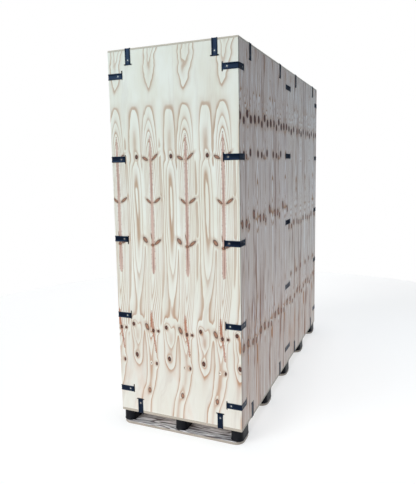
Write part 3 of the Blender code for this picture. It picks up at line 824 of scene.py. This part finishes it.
def screw_head():
    """A flat head with a cross recess, its top at z = 0 and facing +Z."""
    mesh = bpy.data.meshes.new("screw_head_blank")
    shape = bmesh.new()
    bmesh.ops.create_cone(shape, cap_ends=True, segments=24, radius1=SCREW_RADIUS * 0.9,
                          radius2=SCREW_RADIUS, depth=0.0014, matrix=Matrix.Translation((0, 0, -0.0002)))
    shape.to_mesh(mesh)
    shape.free()
    head = link("screw_head_blank", mesh)
    slots = []
    for turn in (0, 90):
        bar = bpy.data.meshes.new(f"recess_{turn}")
        bar_shape = bmesh.new()
        bmesh.ops.create_cube(bar_shape, size=1.0, matrix=Matrix.Rotation(math.radians(turn), 4, "Z")
                              @ Matrix.Diagonal((SCREW_RADIUS * 1.1, SCREW_RADIUS * 0.24, 0.0014, 1)))
        bar_shape.to_mesh(bar)
        bar_shape.free()
        recess = link(f"recess_{turn}", bar, Matrix.Translation((0, 0, 0.0006)))
        cut = head.modifiers.new("recess", "BOOLEAN")
        cut.object = recess
        slots.append(recess)
    rounding = head.modifiers.new("rounding", "BEVEL")
    rounding.width = 0.0002
    rounding.segments = 2
    made = evaluated(head)
    for recess in slots:
        bpy.data.objects.remove(recess, do_unlink=True)
    return made


def build_screws(metal):
    """Two screws through the deck into each foot, and two through the skid from below."""
    head = screw_head()
    for name, height, up in (("deck_screws", DECK_TOP, 1), ("skid_screws", skid_low.z, -1)):
        joined = bmesh.new()
        for row in ROWS:
            for column in COLUMNS:
                middle = box_middle(f"foot_{row}_{column}")
                for side in (-1, 1):
                    copy = head.copy()
                    copy.transform(Matrix.Translation((middle.x, middle.y + side * SCREW_OFFSET, height))
                                   @ Matrix.Rotation(0 if up > 0 else math.pi, 4, "X")
                                   @ Matrix.Rotation(middle.x * 3 + middle.y * 5 + side, 4, "Z"))
                    joined.from_mesh(copy)
                    bpy.data.meshes.remove(copy)
        mesh = bpy.data.meshes.new(name)
        joined.to_mesh(mesh)
        joined.free()
        mesh.materials.append(metal)
        smooth_mesh(mesh)
        screws = link(name, mesh)
        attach(screws, "root")


# ================================================================ boards
# The tenth value of each sheet is its painted pink shade, highest on the right-hand sheets in shade.
SHEETS = {
    "front_panel": Sheet(END_FIGURE, 0, 2, 1, -0.160, DECK_BOTTOM, 0.0, 0.12, 1.0, 0.0, 0.55),
    "rear_panel": Sheet(END_FIGURE, 0, 2, 1, -0.215, DECK_BOTTOM, 4.0, 0.10, 1.0, 0.0, 0.55),
    "right_panel_front": Sheet(SIDE_FIGURE, 1, 2, 0, -1.073, DECK_BOTTOM, 8.0, 0.95, 1.5, 0.4, 0.35),
    "right_panel_rear": Sheet(REAR_FIGURE, 1, 2, 0, 0.475, DECK_BOTTOM, 12.0, 0.90, 1.5, 0.3, 0.35),
    "left_panel_front": Sheet(SIDE_FIGURE, 1, 2, 0, -0.900, DECK_BOTTOM, 16.0, 0.50, 1.2, 0.2, 0.35),
    "left_panel_rear": Sheet(REAR_FIGURE, 1, 2, 0, 0.700, DECK_BOTTOM, 20.0, 0.50, 1.1, 0.2, 0.35),
    "lid_front": Sheet(END_FIGURE, 0, 1, 2, -0.120, -2.10, 24.0, 0.20, 0.9, 0.1, 0.05),
    "lid_rear": Sheet(SIDE_FIGURE, 0, 1, 2, 0.080, -1.10, 28.0, 0.20, 0.9, 0.1, 0.05),
    "deck_front": Sheet(SIDE_FIGURE, 0, 1, 2, 0.050, -1.90, 32.0, 0.20, 1.0, 0.2, 0.30),
    "deck_rear": Sheet(SIDE_FIGURE, 0, 1, 2, -0.100, -0.60, 36.0, 0.20, 1.0, 0.2, 0.30),
}


def build_boards():
    """The CAD boards keep their meshes, with a veneer and rounded edges added."""
    for name, sheet in SHEETS.items():
        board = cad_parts[name]
        board.data.materials.clear()
        board.data.materials.append(veneer(f"veneer_{name}", sheet))
        weld = board.modifiers.new("weld", "WELD")
        weld.merge_threshold = 0.0001
        rounding = board.modifiers.new("rounded_edges", "BEVEL")
        rounding.width = EDGE_ROUNDING
        rounding.segments = 2
        rounding.limit_method = "ANGLE"
        rounding.angle_limit = math.radians(40)


# ================================================================ studio
CAMERA_PLACE = Vector((1.442, -4.106, 1.817))
CAMERA_AZIMUTH, CAMERA_DOWN, CAMERA_ROLL = math.radians(22.75), math.radians(7.62), math.radians(-1.06)
CAMERA_LENS, CAMERA_SHIFT_Y = 37.14, -0.0215


def build_camera():
    data = bpy.data.cameras.new("camera")
    data.lens = CAMERA_LENS
    data.sensor_width = 36
    data.shift_y = CAMERA_SHIFT_Y
    data.clip_end = 100
    forward = Vector((-math.sin(CAMERA_AZIMUTH) * math.cos(CAMERA_DOWN),
                      math.cos(CAMERA_AZIMUTH) * math.cos(CAMERA_DOWN), -math.sin(CAMERA_DOWN)))
    level = forward.cross(Z).normalized()
    right = level * math.cos(CAMERA_ROLL) + level.cross(forward) * math.sin(CAMERA_ROLL)
    up = right.cross(forward)
    camera = link("camera", data, Matrix((right, up, -forward)).transposed().to_4x4())
    camera.location = CAMERA_PLACE
    bpy.context.scene.camera = camera


def sun(name, azimuth, elevation, strength, softness, colour):
    """A distant light from a direction: azimuth 0 is the front and 90 the right-hand side."""
    data = bpy.data.lights.new(name, "SUN")
    data.energy = strength
    data.angle = math.radians(softness)
    data.color = colour
    azimuth, elevation = math.radians(azimuth), math.radians(elevation)
    towards = Vector((math.sin(azimuth) * math.cos(elevation), -math.cos(azimuth) * math.cos(elevation),
                      math.sin(elevation)))
    light = link(name, data)
    light.rotation_mode = "QUATERNION"
    light.rotation_quaternion = towards.to_track_quat("Z", "Y")


FLOOR_RADIUS = 4.2
FLOOR_DROP = 0.001          # how far the floor is below the feet
FLOOR_GLOW = 0.56           # makes the floor as white as the photo's, with a soft shadow left


def build_world():
    """The backdrop is white; the light it gives comes from above the horizon only."""
    world = bpy.data.worlds.new("studio")
    bpy.context.scene.world = world
    world.use_nodes = True
    nodes, links = world.node_tree.nodes, world.node_tree.links
    nodes.clear()
    output = nodes.new("ShaderNodeOutputWorld")
    blend = nodes.new("ShaderNodeMixShader")
    seen, lighting = nodes.new("ShaderNodeBackground"), nodes.new("ShaderNodeBackground")
    path = nodes.new("ShaderNodeLightPath")
    coordinates = nodes.new("ShaderNodeTexCoord")
    direction = nodes.new("ShaderNodeSeparateXYZ")
    horizon = nodes.new("ShaderNodeMapRange")
    horizon.inputs["From Min"].default_value = 0.0
    horizon.inputs["From Max"].default_value = 0.25
    horizon.inputs["To Max"].default_value = 0.22
    seen.inputs[0].default_value = (1, 1, 1, 1)
    lighting.inputs[0].default_value = (0.82, 0.92, 1.0, 1)
    links.new(coordinates.outputs["Generated"], direction.inputs[0])
    links.new(direction.outputs["Z"], horizon.inputs["Value"])
    links.new(horizon.outputs[0], lighting.inputs[1])
    links.new(path.outputs["Is Camera Ray"], blend.inputs[0])
    links.new(lighting.outputs[0], blend.inputs[1])
    links.new(seen.outputs[0], blend.inputs[2])
    links.new(blend.outputs[0], output.inputs[0])


def window(name, place, aim, power, colour):
    """A small cool light, near enough to brighten one part of a side."""
    data = bpy.data.lights.new(name, "AREA")
    data.energy = power
    data.size = 1.2
    data.color = colour
    place = Vector(place)
    light = link(name, data, Matrix.Translation(place))
    light.rotation_mode = "QUATERNION"
    light.rotation_quaternion = (place - Vector(aim)).to_track_quat("Z", "Y")


def build_studio():
    """Soft suns, two cool windows, the world's light and the floor, all outside the crate."""
    sun("key", -32, 24, 2.0, 40, (1.0, 0.968, 0.935))
    sun("overhead", 0, 89, 1.4, 16, (1.0, 1.0, 1.0))
    sun("side_fill", 110, 10, 0.50, 60, (0.72, 0.84, 1.0))
    window("front_window", (-1.3, -3.3, 3.3), (cad_low.x / 2, cad_low.y, cad_high.z * 0.86), 13.0,
           (0.45, 0.88, 1.0))
    window("side_window", (2.3, 1.3, 1.7), (cad_high.x, cad_high.y * 0.6, cad_high.z * 0.55), 7.0,
           (0.55, 0.78, 1.0))
    build_world()

    floor_mesh = bpy.data.meshes.new("studio_floor")
    shape = bmesh.new()
    bmesh.ops.create_circle(shape, cap_ends=True, segments=96, radius=FLOOR_RADIUS)
    shape.to_mesh(floor_mesh)
    shape.free()
    graph = Graph("studio_floor")
    floor_mesh.materials.append(graph.finish(rgb(178, 178, 178), 0.9, Emission_Color=(1, 1, 1, 1),
                                             Emission_Strength=FLOOR_GLOW))
    link("studio_floor", floor_mesh, Matrix.Translation((0, 0, -FLOOR_DROP)))
    bpy.context.scene.view_settings.view_transform = "Standard"


build_camera()
build_boards()
build_skids(weathered_skid_wood("weathered_skid_wood"))
build_feet(moulded_plastic("moulded_plastic"))
build_clips(painted_steel("painted_steel"))
build_screws(zinc("zinc"))
build_studio()
